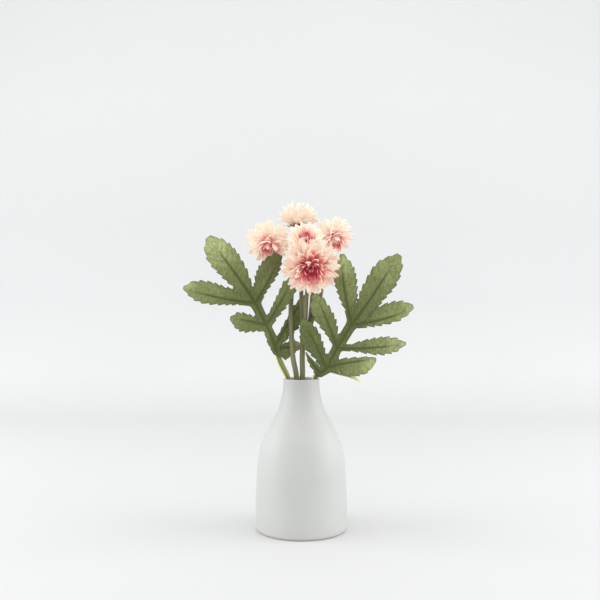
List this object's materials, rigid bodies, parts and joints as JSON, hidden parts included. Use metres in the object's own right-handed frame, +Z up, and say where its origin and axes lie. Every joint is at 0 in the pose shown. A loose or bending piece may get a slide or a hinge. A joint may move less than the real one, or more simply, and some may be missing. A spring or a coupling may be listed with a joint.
{
  "type": "chrysanthemum in vase",
  "caption": "Spray of artificial chrysanthemums with lobed leaves on plastic stalks, standing in a matte white bottle vase.",
  "frame": {"origin": "centre of the vase's flat underside, on the vase's axis", "axes": "+Z up along the vase's axis, the front bloom faces -Y, +X to the viewer's right"},
  "size_m": [0.1905, 0.0846, 0.2699],
  "materials": {
    "vase": "matte white",
    "stem": "matte olive brown",
    "stalk": "moulded yellow-green",
    "leaf": "printed olive green woven cloth with pressed ribs",
    "petals": "dyed cream cloth, pink to crimson at the roots"
  },
  "bodies": {
    "root": {"vase": "vase", "stem": "stem", "leaf_stalk_left": "stalk", "leaf_stalk_right": "stalk", "leaf_left": "leaf", "leaf_right": "leaf", "bloom_front": "petals", "bloom_left": "petals", "bloom_top": "petals", "bloom_right": "petals", "bloom_middle": "petals"}
  },
  "joints": []
}
